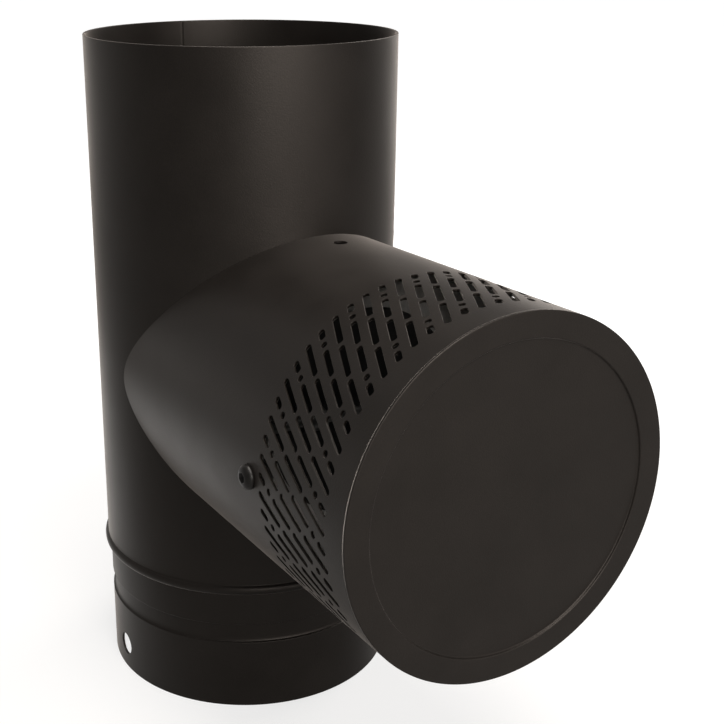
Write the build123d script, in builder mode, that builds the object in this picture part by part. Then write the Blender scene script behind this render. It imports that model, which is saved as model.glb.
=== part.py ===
from build123d import *
import os
from math import cos, degrees, radians, sin, sqrt

os.makedirs("parts", exist_ok=True)

# Draft regulator in a flue tee, in millimetres.
# The origin is the centre of the lower rim, +Z runs up the flue and the branch points along -Y.
# A "reach" is a distance from the flue's axis along the branch.

# Flue pipe
pipe_radius = 75.0
pipe_height = 325.0
sheet = 1.2
socket_fit = 0.1
collar_length = 36.0
shoulder_rise = 2.6
groove_depth = 1.2
groove_floor = 7.0
groove_step = 0.6
neck_length = 17.2
bead_height = 5.2
bead_rise = 1.6
bead_crest = 1.6
collar_hole_radius = 5.75
collar_hole_height = 13.5

# Branch
branch_height = 166.6
branch_reach = 216.4
branch_root_radius = 73.6
branch_front_radius = 75.8
weld_gap = 0.05
gauge_hole_radius = 3.25
gauge_hole_reach = 91.0

# Slot pattern on the branch, laid out along slanted lines
slot_columns = 30
slot_width = 3.0
slot_slant = 29.4
slot_line = 55.1
slot_gap = 5.1
short_slot = 3.0
slot_band_reach = 177.6
slot_phase = 1.5

# Front cover
cover_sheet = 1.2
cover_recess = 1.0
cover_panel_radius = 65.0
cover_edge_bevel = 0.4
plug_depth = 9.0
plug_fit = 0.2

# Regulator ring
ring_reach = 112.0
ring_sheet = 1.5
ring_fit = 0.2
ring_bend = 0.8
skirt_reach = 150.0
opening_radius = 51.5

# Seal lips on the ring
lip_sheet = 0.8
lip_overlap = 3.0
lip_land = 5.0
lip_axle_space = 14.0

# Flap and axle
flap_gap = 2.0
flap_sheet = 0.8
axle_rise = 6.0
axle_standoff = 7.0
axle_radius = 2.5
axle_end = 4.0
clip_radius = 4.2
clip_sheet = 0.8
clip_depth = 0.6
clip_mouth = 3.2
clip_play = 0.3

# Bearings
bracket_sheet = 1.5
bracket_width = 14.0
bracket_foot = 13.0
bracket_edge_gap = 2.5
bracket_nose = 6.5
bush_wall = 1.5
bush_flange_rim = 1.5
bush_flange_sheet = 1.0
running_fit = 0.05
press_gap = 0.02
rivet_radius = 1.5
rivet_head_radius = 2.8
rivet_head_height = 1.1
rivet_spacing = 8.0

# Axle blocks on the flap
block_width = 10.0
block_offset = 30.0
block_wall = 2.5
block_screw_radius = 1.5
block_screw_depth = 2.6
block_screw_head_radius = 2.8
block_screw_head_height = 1.8

# Weight and its rod
rod_radius = 2.0
rod_bend = 2.4
rod_top_drop = 12.0
rod_bottom_drop = 49.0
rod_tail = 4.2
rod_collar_radius = 3.4
rod_collar_height = 1.2
rod_nut_flats = 7.0
rod_nut_height = 3.0
weight_width = 24.0
weight_height = 12.0
weight_front_depth = 9.0
weight_flap_gap = 0.6
weight_drop = 38.5
weight_edge_round = 1.5
set_screw_radius = 2.0
set_screw_rod_gap = 0.3
set_screw_socket = 2.0
set_screw_socket_depth = 2.0

# Side screws that hold the ring in the branch
fixing_reach = 144.3
fixing_radius = 3.0
fixing_hole_gap = 0.3
fixing_length = 10.0
fixing_head_radius = 5.25
fixing_head_height = 3.3
fixing_head_bevel = 1.6
fixing_socket = 4.0
fixing_socket_depth = 2.0
fixing_nut_flats = 10.0
fixing_nut_height = 5.0
seat_gap = 0.05

# Places worked out from the sizes above
spigot_radius = pipe_radius - sheet - socket_fit
groove_radius = spigot_radius - groove_depth
shoulder_top = collar_length + shoulder_rise
groove_top = shoulder_top + groove_floor
neck_bottom = groove_top + groove_step
bead_bottom = neck_bottom + neck_length
bead_top = bead_bottom + bead_height
bead_middle = (bead_bottom + bead_top) / 2
branch_axis = Axis((0, 0, branch_height), (0, -1, 0))
branch_plane = Plane.XY.offset(branch_height)
tube_reach = branch_reach - cover_sheet
ring_back_reach = ring_reach - ring_sheet
flap_radius = opening_radius - flap_gap
flap_reach = ring_reach - ring_sheet / 2
flap_front_reach = flap_reach + flap_sheet / 2
flap_back_reach = flap_reach - flap_sheet / 2
axle_reach = flap_reach + axle_standoff
axle_height = branch_height + axle_rise
bracket_inside = opening_radius + bracket_edge_gap
bracket_outside = bracket_inside + bracket_sheet
bush_radius = axle_radius + running_fit + bush_wall
axle_half = bracket_outside + clip_play + clip_sheet + axle_end
rod_top = axle_height - rod_top_drop
rod_bottom = axle_height - rod_bottom_drop
through = 4 * sheet


def branch_radius(reach):
    """Outer radius of the conical branch at a reach."""
    return branch_root_radius + (branch_front_radius - branch_root_radius) * reach / branch_reach


def branch_inside(reach):
    """Inner radius of the branch at a reach."""
    return branch_radius(reach) - sheet


def skirt_radius(reach):
    """Outer radius of the ring's skirt, which follows the branch."""
    return branch_inside(reach) - ring_fit


def branch_spot(angle, reach):
    """Plane on the branch's surface, its normal outwards, its x towards the flue; angle 0 is the top."""
    turn = radians(angle)
    outward = (-sin(turn), 0, cos(turn))
    radius = branch_radius(reach)
    spot = (radius * outward[0], -reach, branch_height + radius * outward[2])
    return Plane(origin=spot, x_dir=(0, 1, 0), z_dir=outward)


def side_plane(side, distance, reach, height):
    """Plane that faces sideways, at a distance from the middle."""
    return Plane(origin=(side * distance, -reach, height), x_dir=(0, 1, 0), z_dir=(side, 0, 0))


def front_plane(reach, x=0.0, height=branch_height):
    """Plane that faces the front, along the branch, with x to the right and y up."""
    return Plane(origin=(x, -reach, height), x_dir=(1, 0, 0), z_dir=(0, -1, 0))


# Flue pipe: one rolled sheet with a beaded and grooved lower end, its seam at the back
with BuildPart() as flue_pipe:
    with BuildSketch(Plane.YZ):
        with BuildLine():
            Polyline(
                (spigot_radius, 0),
                (spigot_radius, collar_length),
                (groove_radius, shoulder_top),
                (groove_radius, groove_top),
                (spigot_radius, neck_bottom),
                (spigot_radius, bead_bottom),
                (pipe_radius + bead_rise, bead_middle - bead_crest / 2),
                (pipe_radius + bead_rise, bead_middle + bead_crest / 2),
                (pipe_radius, bead_top),
                (pipe_radius, pipe_height),
            )
            offset(amount=sheet, side=Side.LEFT, kind=Kind.INTERSECTION)
        make_face()
    revolve(axis=Axis.Z)
    with BuildSketch(branch_plane):
        with BuildLine():
            Polyline(
                (0, 0),
                (branch_inside(0), 0),
                (branch_inside(2 * pipe_radius), -2 * pipe_radius),
                (0, -2 * pipe_radius),
                close=True,
            )
        make_face()
    revolve(axis=branch_axis, mode=Mode.SUBTRACT)
    with BuildSketch(side_plane(-1, spigot_radius, 0, collar_hole_height)):
        Circle(collar_hole_radius)
    extrude(amount=through, both=True, mode=Mode.SUBTRACT)
flue_pipe.part.label = "flue_pipe"
export_step(flue_pipe.part, "parts/flue_pipe.step")

# Slot lines come in two kinds, turn and turn about: three long slots, or two middle ones.
# The middle pair leaves room at each end of its line for a short slot and a dot.
long_slot = (slot_line - 2 * slot_gap) / 3
middle_slot = (slot_line - 2 * short_slot - 5 * slot_gap) / 2
long_pitch = long_slot + slot_gap
middle_pitch = middle_slot + slot_gap
slot_step = 360 / slot_columns
slot_lines = (
    (long_slot, (-long_pitch, 0, long_pitch), slot_phase + slot_step / 2),
    (middle_slot, (-middle_pitch / 2, middle_pitch / 2), slot_phase),
)


def slot_planes(distance, turn):
    """Planes of one slot in every column; a line climbs towards the top as it nears the flue."""
    reach = slot_band_reach - distance * cos(radians(slot_slant))
    climb = degrees(distance * sin(radians(slot_slant)) / branch_radius(slot_band_reach))
    return [branch_spot(turn + column * slot_step - climb, reach) for column in range(slot_columns)]


# Branch tube: a slightly conical sheet, saddle cut to the pipe and slotted near its front
with BuildPart() as branch_tube:
    with BuildSketch(branch_plane):
        with BuildLine():
            Polyline(
                (branch_radius(0), 0),
                (branch_radius(tube_reach), -tube_reach),
                (branch_inside(tube_reach), -tube_reach),
                (branch_inside(0), 0),
                close=True,
            )
        make_face()
    revolve(axis=branch_axis)
    Cylinder(
        pipe_radius + weld_gap,
        pipe_height,
        align=(Align.CENTER, Align.CENTER, Align.MIN),
        mode=Mode.SUBTRACT,
    )
    with BuildSketch(branch_spot(0, gauge_hole_reach)):
        Circle(gauge_hole_radius)
    extrude(amount=through, both=True, mode=Mode.SUBTRACT)
    with BuildSketch(branch_spot(90, fixing_reach), branch_spot(-90, fixing_reach)):
        Circle(fixing_radius + fixing_hole_gap)
    extrude(amount=through, both=True, mode=Mode.SUBTRACT)
    slot_cutters = []
    for length, distances, turn in slot_lines:
        for distance in distances:
            with BuildSketch(*slot_planes(distance, turn), mode=Mode.PRIVATE) as slots:
                Rectangle(length + slot_width, slot_width, rotation=-slot_slant)
            slot_cutters += extrude(slots.sketch, amount=through, both=True, mode=Mode.PRIVATE).solids()
    add(slot_cutters, mode=Mode.SUBTRACT)
branch_tube.part.label = "branch_tube"
export_step(branch_tube.part, "parts/branch_tube.step")

# Front cover: pressed disc with a recessed panel, flush with the branch
with BuildPart() as front_cover:
    with BuildSketch(front_plane(tube_reach)):
        Circle(branch_front_radius)
    extrude(amount=cover_sheet)
    with BuildSketch(front_plane(tube_reach)):
        Circle(cover_panel_radius + cover_sheet)
    extrude(amount=-cover_recess)
    with BuildSketch(front_plane(branch_reach)):
        Circle(cover_panel_radius)
    extrude(amount=-cover_recess, mode=Mode.SUBTRACT)
    rim_edge = front_cover.edges().filter_by(GeomType.CIRCLE).group_by(Axis.Y)[0].sort_by(SortBy.RADIUS)[-1]
    chamfer(rim_edge, cover_edge_bevel)
front_cover.part.label = "front_cover"
export_step(front_cover.part, "parts/front_cover.step")

# Cover ring: rolled strip behind the cover that plugs it into the branch
plug_end_reach = tube_reach - plug_depth
with BuildPart() as cover_ring:
    with BuildSketch(branch_plane):
        with BuildLine():
            Polyline(
                (branch_inside(plug_end_reach) - plug_fit, -plug_end_reach),
                (branch_inside(tube_reach) - plug_fit, -tube_reach),
                (branch_inside(tube_reach) - plug_fit - cover_sheet, -tube_reach),
                (branch_inside(plug_end_reach) - plug_fit - cover_sheet, -plug_end_reach),
                close=True,
            )
        make_face()
    revolve(axis=branch_axis)
cover_ring.part.label = "cover_ring"
export_step(cover_ring.part, "parts/cover_ring.step")

# Regulator ring: skirt that fits the branch, turned in to a flat plate with the round opening
with BuildPart() as regulator_ring:
    with BuildSketch(branch_plane) as ring_wall:
        with BuildLine():
            Polyline(
                (opening_radius, -ring_back_reach),
                (skirt_radius(ring_back_reach), -ring_back_reach),
                (skirt_radius(skirt_reach), -skirt_reach),
                (skirt_radius(skirt_reach) - ring_sheet, -skirt_reach),
                (skirt_radius(ring_reach) - ring_sheet, -ring_reach),
                (opening_radius, -ring_reach),
                close=True,
            )
        make_face()
        chamfer(ring_wall.vertices().group_by(Axis.Y)[-1].sort_by(Axis.X)[-1], ring_bend)
    revolve(axis=branch_axis)
    with BuildSketch(side_plane(1, 0, fixing_reach, branch_height)):
        Circle(fixing_radius + fixing_hole_gap)
    extrude(amount=pipe_radius, both=True, mode=Mode.SUBTRACT)
    for side in (-1, 1):
        rivet_x = side * (bracket_inside + (bracket_sheet + bracket_foot) / 2)
        with BuildSketch(front_plane(ring_reach, rivet_x, axle_height)):
            with GridLocations(0, rivet_spacing, 1, 2):
                Circle(rivet_radius + press_gap)
        extrude(amount=through, both=True, mode=Mode.SUBTRACT)
regulator_ring.part.label = "regulator_ring"
export_step(regulator_ring.part, "parts/regulator_ring.step")

# Seal lips: half-ring strips, the upper one behind the ring and the lower one in front of it
lip_inside = flap_radius - lip_overlap
lip_outside = opening_radius + lip_land
with BuildPart() as seal_lip_upper:
    with BuildSketch(front_plane(ring_back_reach)):
        Circle(lip_outside)
        Circle(lip_inside, mode=Mode.SUBTRACT)
        with Locations((0, axle_rise + lip_axle_space)):
            Rectangle(
                3 * lip_outside,
                3 * lip_outside,
                align=(Align.CENTER, Align.MAX),
                mode=Mode.SUBTRACT,
            )
    extrude(amount=-lip_sheet)
seal_lip_upper.part.label = "seal_lip_upper"
export_step(seal_lip_upper.part, "parts/seal_lip_upper.step")

with BuildPart() as seal_lip_lower:
    with BuildSketch(front_plane(ring_reach)):
        Circle(lip_outside)
        Circle(lip_inside, mode=Mode.SUBTRACT)
        with Locations((0, axle_rise - lip_axle_space)):
            Rectangle(
                3 * lip_outside,
                3 * lip_outside,
                align=(Align.CENTER, Align.MIN),
                mode=Mode.SUBTRACT,
            )
    extrude(amount=lip_sheet)
seal_lip_lower.part.label = "seal_lip_lower"
export_step(seal_lip_lower.part, "parts/seal_lip_lower.step")

# Bearing brackets: angles on the ring's face that carry the bushes
bracket_reach = axle_reach + bracket_nose
with BuildPart() as bearing_bracket_right:
    with BuildSketch(Plane.XY.offset(axle_height)) as angle:
        with BuildLine():
            Polyline(
                (bracket_inside, -ring_reach),
                (bracket_inside, -bracket_reach),
                (bracket_outside, -bracket_reach),
                (bracket_outside, -ring_reach - bracket_sheet),
                (bracket_outside + bracket_foot, -ring_reach - bracket_sheet),
                (bracket_outside + bracket_foot, -ring_reach),
                close=True,
            )
        make_face()
        fillet(angle.vertices().group_by(Axis.Y)[-1].sort_by(Axis.X)[0], bracket_sheet)
    extrude(amount=bracket_width / 2, both=True)
    nose_edges = bearing_bracket_right.edges().filter_by(Axis.X).group_by(Axis.Y)[0]
    fillet(nose_edges, min(bracket_nose, bracket_width / 2) - bracket_sheet)
    with BuildSketch(side_plane(1, bracket_inside, axle_reach, axle_height)):
        Circle(bush_radius + press_gap)
    extrude(amount=through, both=True, mode=Mode.SUBTRACT)
    rivet_x = bracket_inside + (bracket_sheet + bracket_foot) / 2
    with BuildSketch(front_plane(ring_reach, rivet_x, axle_height)):
        with GridLocations(0, rivet_spacing, 1, 2):
            Circle(rivet_radius + press_gap)
    extrude(amount=through, both=True, mode=Mode.SUBTRACT)
bearing_bracket_right.part.label = "bearing_bracket_right"
export_step(bearing_bracket_right.part, "parts/bearing_bracket_right.step")

with BuildPart() as bearing_bracket_left:
    mirror(bearing_bracket_right.part, about=Plane.YZ)
bearing_bracket_left.part.label = "bearing_bracket_left"
export_step(bearing_bracket_left.part, "parts/bearing_bracket_left.step")

# Rivets that hold the brackets to the ring
with BuildPart() as bracket_rivets:
    for side in (-1, 1):
        rivet_x = side * (bracket_inside + (bracket_sheet + bracket_foot) / 2)
        with BuildSketch(front_plane(ring_back_reach, rivet_x, axle_height)):
            with GridLocations(0, rivet_spacing, 1, 2):
                Circle(rivet_radius)
        extrude(amount=ring_sheet + bracket_sheet)
        with BuildSketch(front_plane(ring_reach + bracket_sheet, rivet_x, axle_height)):
            with GridLocations(0, rivet_spacing, 1, 2):
                Circle(rivet_head_radius)
        extrude(amount=rivet_head_height)
        with BuildSketch(front_plane(ring_back_reach, rivet_x, axle_height)):
            with GridLocations(0, rivet_spacing, 1, 2):
                Circle(rivet_head_radius)
        extrude(amount=-rivet_head_height)
bracket_rivets.part.label = "bracket_rivets"
export_step(bracket_rivets.part, "parts/bracket_rivets.step")

# Bearing bushes: flanged, pressed into the brackets from the flap's side
with BuildPart() as bearing_bush_right:
    with BuildSketch(side_plane(1, bracket_inside, axle_reach, axle_height)):
        Circle(bush_radius)
    extrude(amount=bracket_sheet)
    with BuildSketch(side_plane(1, bracket_inside, axle_reach, axle_height)):
        Circle(bush_radius + bush_flange_rim)
    extrude(amount=-bush_flange_sheet)
    with BuildSketch(side_plane(1, bracket_inside, axle_reach, axle_height)):
        Circle(axle_radius + running_fit)
    extrude(amount=through, both=True, mode=Mode.SUBTRACT)
bearing_bush_right.part.label = "bearing_bush_right"
export_step(bearing_bush_right.part, "parts/bearing_bush_right.step")

with BuildPart() as bearing_bush_left:
    mirror(bearing_bush_right.part, about=Plane.YZ)
bearing_bush_left.part.label = "bearing_bush_left"
export_step(bearing_bush_left.part, "parts/bearing_bush_left.step")

# Flap axle with a clip groove near each end
clip_inside = bracket_outside + clip_play
groove_bottom = axle_radius - clip_depth
with BuildPart() as flap_axle:
    with BuildSketch(side_plane(1, 0, axle_reach, axle_height)):
        Circle(axle_radius)
    extrude(amount=axle_half, both=True)
    for side in (-1, 1):
        with BuildSketch(side_plane(side, clip_inside, axle_reach, axle_height)):
            Circle(2 * axle_radius)
            Circle(groove_bottom, mode=Mode.SUBTRACT)
        extrude(amount=clip_sheet + 2 * press_gap, mode=Mode.SUBTRACT)
    end_edges = flap_axle.edges().filter_by(GeomType.CIRCLE).group_by(Axis.X)
    chamfer(end_edges[0] + end_edges[-1], axle_radius / 5)
flap_axle.part.label = "flap_axle"
export_step(flap_axle.part, "parts/flap_axle.step")

# Clips that keep the axle in its bushes
with BuildPart() as axle_clips:
    for side in (-1, 1):
        with BuildSketch(side_plane(side, clip_inside + press_gap, axle_reach, axle_height)):
            Circle(clip_radius)
            Circle(groove_bottom + press_gap, mode=Mode.SUBTRACT)
            Rectangle(clip_mouth, 2 * clip_radius, align=(Align.CENTER, Align.MAX), mode=Mode.SUBTRACT)
        extrude(amount=clip_sheet)
axle_clips.part.label = "axle_clips"
export_step(axle_clips.part, "parts/axle_clips.step")

# Flap: a plain disc that hangs in the ring's opening
with BuildPart() as flap_disc:
    with BuildSketch(front_plane(flap_back_reach)):
        Circle(flap_radius)
        with Locations((-block_offset, axle_rise), (block_offset, axle_rise)):
            Circle(block_screw_radius + press_gap, mode=Mode.SUBTRACT)
        with Locations((0, axle_rise - rod_top_drop), (0, axle_rise - rod_bottom_drop)):
            Circle(rod_radius + press_gap, mode=Mode.SUBTRACT)
    extrude(amount=flap_sheet)
flap_disc.part.label = "flap_disc"
export_step(flap_disc.part, "parts/flap_disc.step")

# Axle blocks: carry the axle in front of the flap
block_half = axle_radius + block_wall
with BuildPart() as axle_block_right:
    with BuildSketch(side_plane(1, block_offset - block_width / 2, axle_reach, axle_height)):
        Circle(block_half)
        Rectangle(
            axle_standoff - flap_sheet / 2,
            2 * block_half,
            align=(Align.MIN, Align.CENTER),
        )
        Circle(axle_radius + press_gap, mode=Mode.SUBTRACT)
    extrude(amount=block_width)
    with BuildSketch(front_plane(flap_front_reach, block_offset, axle_height)):
        Circle(block_screw_radius + press_gap)
    extrude(amount=block_screw_depth + press_gap, mode=Mode.SUBTRACT)
axle_block_right.part.label = "axle_block_right"
export_step(axle_block_right.part, "parts/axle_block_right.step")

with BuildPart() as axle_block_left:
    mirror(axle_block_right.part, about=Plane.YZ)
axle_block_left.part.label = "axle_block_left"
export_step(axle_block_left.part, "parts/axle_block_left.step")

# Screws that hold the blocks, put in from behind the flap
with BuildPart() as block_screws:
    for side in (-1, 1):
        with BuildSketch(front_plane(flap_back_reach, side * block_offset, axle_height)):
            Circle(block_screw_radius)
        extrude(amount=flap_sheet + block_screw_depth)
        with BuildSketch(front_plane(flap_back_reach, side * block_offset, axle_height)):
            Circle(block_screw_head_radius)
        extrude(amount=-block_screw_head_height)
    head_edges = block_screws.edges().filter_by(GeomType.CIRCLE).group_by(Axis.Y)[-1]
    chamfer(head_edges, block_screw_head_height / 2)
block_screws.part.label = "block_screws"
export_step(block_screws.part, "parts/block_screws.step")

# Weight rod: a bent staple whose feet pass through the flap
foot_reach = flap_back_reach - rod_tail
with BuildPart() as weight_rod:
    with BuildLine() as staple:
        Polyline(
            (0, -foot_reach, rod_top),
            (0, rod_bend - axle_reach, rod_top),
            (0, -axle_reach, rod_top - rod_bend),
            (0, -axle_reach, rod_bottom + rod_bend),
            (0, rod_bend - axle_reach, rod_bottom),
            (0, -foot_reach, rod_bottom),
        )
    with BuildSketch(front_plane(foot_reach, 0, rod_top)):
        Circle(rod_radius)
    sweep(path=staple.line, transition=Transition.RIGHT)
    for height in (rod_top, rod_bottom):
        with BuildSketch(front_plane(flap_front_reach, 0, height)):
            Circle(rod_collar_radius)
        extrude(amount=rod_collar_height)
weight_rod.part.label = "weight_rod"
export_step(weight_rod.part, "parts/weight_rod.step")

# Nuts on the rod's feet, behind the flap
with BuildPart() as rod_nuts:
    for height in (rod_top, rod_bottom):
        with BuildSketch(front_plane(flap_back_reach, 0, height)):
            RegularPolygon(rod_nut_flats / 2, 6, major_radius=False)
            Circle(rod_radius + press_gap, mode=Mode.SUBTRACT)
        extrude(amount=-rod_nut_height)
rod_nuts.part.label = "rod_nuts"
export_step(rod_nuts.part, "parts/rod_nuts.step")

# Counterweight: a block that slides on the rod, held by a set screw
weight_back_depth = axle_standoff - flap_sheet / 2 - weight_flap_gap
weight_middle = axle_height - weight_drop
with BuildPart() as counterweight:
    with BuildSketch(Plane.XY.offset(weight_middle - weight_height / 2)) as outline:
        with Locations((0, -axle_reach + weight_back_depth)):
            Rectangle(
                weight_width,
                weight_front_depth + weight_back_depth,
                align=(Align.CENTER, Align.MAX),
            )
        fillet(outline.vertices().group_by(Axis.Y)[0], weight_front_depth - weight_edge_round)
    extrude(amount=weight_height)
    ends = counterweight.faces().filter_by(Axis.Z)
    chamfer(ends.edges().filter_by(GeomType.CIRCLE), weight_edge_round / 2)
    with BuildSketch(Plane.XY.offset(weight_middle)):
        with Locations((0, -axle_reach)):
            Circle(rod_radius + running_fit)
    extrude(amount=weight_height, both=True, mode=Mode.SUBTRACT)
    with BuildSketch(front_plane(axle_reach, 0, weight_middle)):
        Circle(set_screw_radius + press_gap)
    extrude(amount=2 * weight_front_depth, mode=Mode.SUBTRACT)
counterweight.part.label = "counterweight"
export_step(counterweight.part, "parts/counterweight.step")

with BuildPart() as weight_set_screw:
    with BuildSketch(front_plane(axle_reach + rod_radius + set_screw_rod_gap, 0, weight_middle)):
        Circle(set_screw_radius)
    extrude(amount=weight_front_depth - rod_radius - set_screw_rod_gap)
    with BuildSketch(front_plane(axle_reach + weight_front_depth, 0, weight_middle)):
        RegularPolygon(set_screw_socket / 2, 6, major_radius=False)
    extrude(amount=-set_screw_socket_depth, mode=Mode.SUBTRACT)
weight_set_screw.part.label = "weight_set_screw"
export_step(weight_set_screw.part, "parts/weight_set_screw.step")

# Button-head screws through the branch and the ring's skirt
screw_seat = branch_radius(fixing_reach + fixing_head_radius) + seat_gap
with BuildPart() as fixing_screws:
    for side in (-1, 1):
        with BuildSketch(side_plane(side, screw_seat, fixing_reach, branch_height)):
            Circle(fixing_head_radius)
        extrude(amount=fixing_head_height)
    dome_edges = fixing_screws.edges().filter_by(GeomType.CIRCLE).group_by(Axis.X)
    chamfer(dome_edges[0] + dome_edges[-1], fixing_head_bevel)
    for side in (-1, 1):
        with BuildSketch(side_plane(side, screw_seat, fixing_reach, branch_height)):
            Circle(fixing_radius)
        extrude(amount=-fixing_length)
        with BuildSketch(side_plane(side, screw_seat + fixing_head_height, fixing_reach, branch_height)):
            RegularPolygon(fixing_socket / 2, 6, major_radius=False)
        extrude(amount=-fixing_socket_depth, mode=Mode.SUBTRACT)
fixing_screws.part.label = "fixing_screws"
export_step(fixing_screws.part, "parts/fixing_screws.step")

# Nuts behind the skirt, one flat up, seated on the skirt's curve
skirt_inside = skirt_radius(fixing_reach - fixing_nut_flats) - ring_sheet
nut_seat = sqrt(skirt_inside**2 - (fixing_nut_flats / 2) ** 2) - seat_gap
with BuildPart() as fixing_nuts:
    for side in (-1, 1):
        with BuildSketch(side_plane(side, nut_seat, fixing_reach, branch_height)):
            RegularPolygon(fixing_nut_flats / 2, 6, major_radius=False)
            Circle(fixing_radius + press_gap, mode=Mode.SUBTRACT)
        extrude(amount=-fixing_nut_height)
fixing_nuts.part.label = "fixing_nuts"
export_step(fixing_nuts.part, "parts/fixing_nuts.step")
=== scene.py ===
"""Dressed model of a draft regulator in a flue tee: painted pipe, slotted branch and the flap behind it."""
import logging
import math
from abc import ABC, abstractmethod
from dataclasses import dataclass, field
from enum import Enum

import bpy
import numpy as np
from mathutils import Matrix, Vector


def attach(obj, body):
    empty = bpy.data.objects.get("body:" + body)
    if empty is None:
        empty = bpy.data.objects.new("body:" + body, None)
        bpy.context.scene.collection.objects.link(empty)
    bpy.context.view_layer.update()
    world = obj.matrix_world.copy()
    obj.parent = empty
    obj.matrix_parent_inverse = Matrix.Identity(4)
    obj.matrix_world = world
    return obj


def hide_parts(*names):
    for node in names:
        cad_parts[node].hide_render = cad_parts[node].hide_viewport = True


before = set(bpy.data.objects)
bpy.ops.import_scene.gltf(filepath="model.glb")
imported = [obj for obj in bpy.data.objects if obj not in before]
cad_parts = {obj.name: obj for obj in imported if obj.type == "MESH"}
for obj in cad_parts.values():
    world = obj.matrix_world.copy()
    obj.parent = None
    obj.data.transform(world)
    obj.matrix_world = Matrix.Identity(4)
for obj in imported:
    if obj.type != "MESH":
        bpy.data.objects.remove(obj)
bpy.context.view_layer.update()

log = logging.getLogger("draft_regulator")
Array = np.ndarray
Pair = tuple[float, float]
Triple = tuple[float, float, float]
Tree, Socket = bpy.types.NodeTree, bpy.types.NodeSocket
MM = 0.001
RIGHT, BACK, UP = np.eye(3)
# In millimetres: straight runs longer than the first get points at the second distance from both ends.
LONG_RUN, END_STEP = 2.0, 0.4


@dataclass(frozen=True)
class Tee:
    """Sizes of the tee in millimetres, the same as the solids have."""

    pipe_radius: float = 75.0
    pipe_height: float = 325.0
    sheet: float = 1.2
    spigot_radius: float = 73.7
    groove_radius: float = 72.5
    bead_radius: float = 76.6
    collar_hole_radius: float = 5.75
    collar_hole_height: float = 13.5
    branch_height: float = 166.6
    branch_reach: float = 216.4
    tube_reach: float = 215.2
    root_radius: float = 73.6
    front_radius: float = 75.8
    band_reach: float = 177.6
    gauge_hole_radius: float = 3.25
    gauge_hole_reach: float = 91.0
    fixing_reach: float = 144.3

    def branch_radius(self, reach: Array | float) -> Array | float:
        """Outer radius of the conical branch.

        Args:
            reach: Distance from the flue's axis along the branch.
        Returns:
            The radius there.
        """
        return self.root_radius + self.flare * reach

    @property
    def flare(self) -> float:
        """Growth of the branch's radius for each millimetre of reach."""
        return (self.front_radius - self.root_radius) / self.branch_reach

    def meeting(self, turn: Array, radius: float, inset: float) -> Array:
        """Reach at which a face of the branch meets a face of the pipe.

        Its square is the pipe's radius squared less that of the branch's radius times the sine. The branch's radius
        depends on the reach, so both are worked out in turns.

        Args:
            turn: Angles round the branch.
            radius: Radius of the pipe's face.
            inset: Depth of the branch's face under its outer one.
        Returns:
            The reach for each angle.
        """
        reach = np.full(turn.shape, radius / 2)
        for _ in range(12):
            across = (self.branch_radius(reach) - inset) * np.sin(turn)
            reach = np.sqrt(np.maximum(radius**2 - across**2, 0))
        return reach


@dataclass
class Patch:
    """Grids of surface points with shading normals, in millimetres.

    The last three axes are rows, columns and xyz; axes before them hold copies of one grid.
    """

    points: Array
    normals: Array
    closed: bool = False
    skip: Array | None = None

    def quads(self) -> tuple[Array, Array, Array]:
        """Flatten the grids.

        Returns:
            Points, normals and four-cornered faces, wound to agree with the normals.
        """
        points = self.points.reshape(-1, *self.points.shape[-3:])
        normals = np.broadcast_to(self.normals, self.points.shape).reshape(-1, 3)
        index = np.arange(points[..., 0].size).reshape(points.shape[:3])
        ahead = np.roll(index, -1, axis=2)
        if not self.closed:
            index, ahead = index[:, :, :-1], ahead[:, :, :-1]
        faces = np.stack([index[:, :-1], ahead[:, :-1], ahead[:, 1:], index[:, 1:]], axis=-1)
        faces = (faces if self.skip is None else faces[:, ~self.skip]).reshape(-1, 4)
        flat = points.reshape(-1, 3)
        corner = flat[faces]
        facing = np.cross(corner[:, 2] - corner[:, 0], corner[:, 3] - corner[:, 1])
        wrong = np.einsum("ij,ij->i", facing, normals[faces].sum(axis=1)) < 0
        faces[wrong] = faces[wrong][:, ::-1]
        return flat, normals, faces


def make_piece(name: str, patches: list[Patch], material: bpy.types.Material) -> bpy.types.Object:
    """Make one object of several patches.

    Args:
        name: Name of the object.
        patches: Its surfaces.
        material: Its only material.
    Returns:
        The linked object, at the origin.
    """
    parts = [patch.quads() for patch in patches]
    starts = np.cumsum([0] + [len(part[0]) for part in parts[:-1]])
    points = np.concatenate([part[0] for part in parts]) * MM
    normals = np.concatenate([part[1] for part in parts])
    normals = normals / np.linalg.norm(normals, axis=1, keepdims=True)
    faces = np.concatenate([part[2] + start for part, start in zip(parts, starts)])
    mesh = bpy.data.meshes.new(name)
    mesh.vertices.add(len(points))
    mesh.vertices.foreach_set("co", points.astype(np.float32).ravel())
    mesh.loops.add(faces.size)
    mesh.loops.foreach_set("vertex_index", faces.astype(np.int32).ravel())
    mesh.polygons.add(len(faces))
    mesh.polygons.foreach_set("loop_start", np.arange(0, faces.size, 4, dtype=np.int32))
    mesh.polygons.foreach_set("use_smooth", np.ones(len(faces), dtype=bool))
    mesh.update(calc_edges=True)
    mesh.normals_split_custom_set_from_vertices(normals.astype(np.float32))
    mesh.materials.append(material)
    piece = bpy.data.objects.new(name, mesh)
    bpy.context.scene.collection.objects.link(piece)
    log.info("%s: %d faces", name, len(faces))
    return piece


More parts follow.
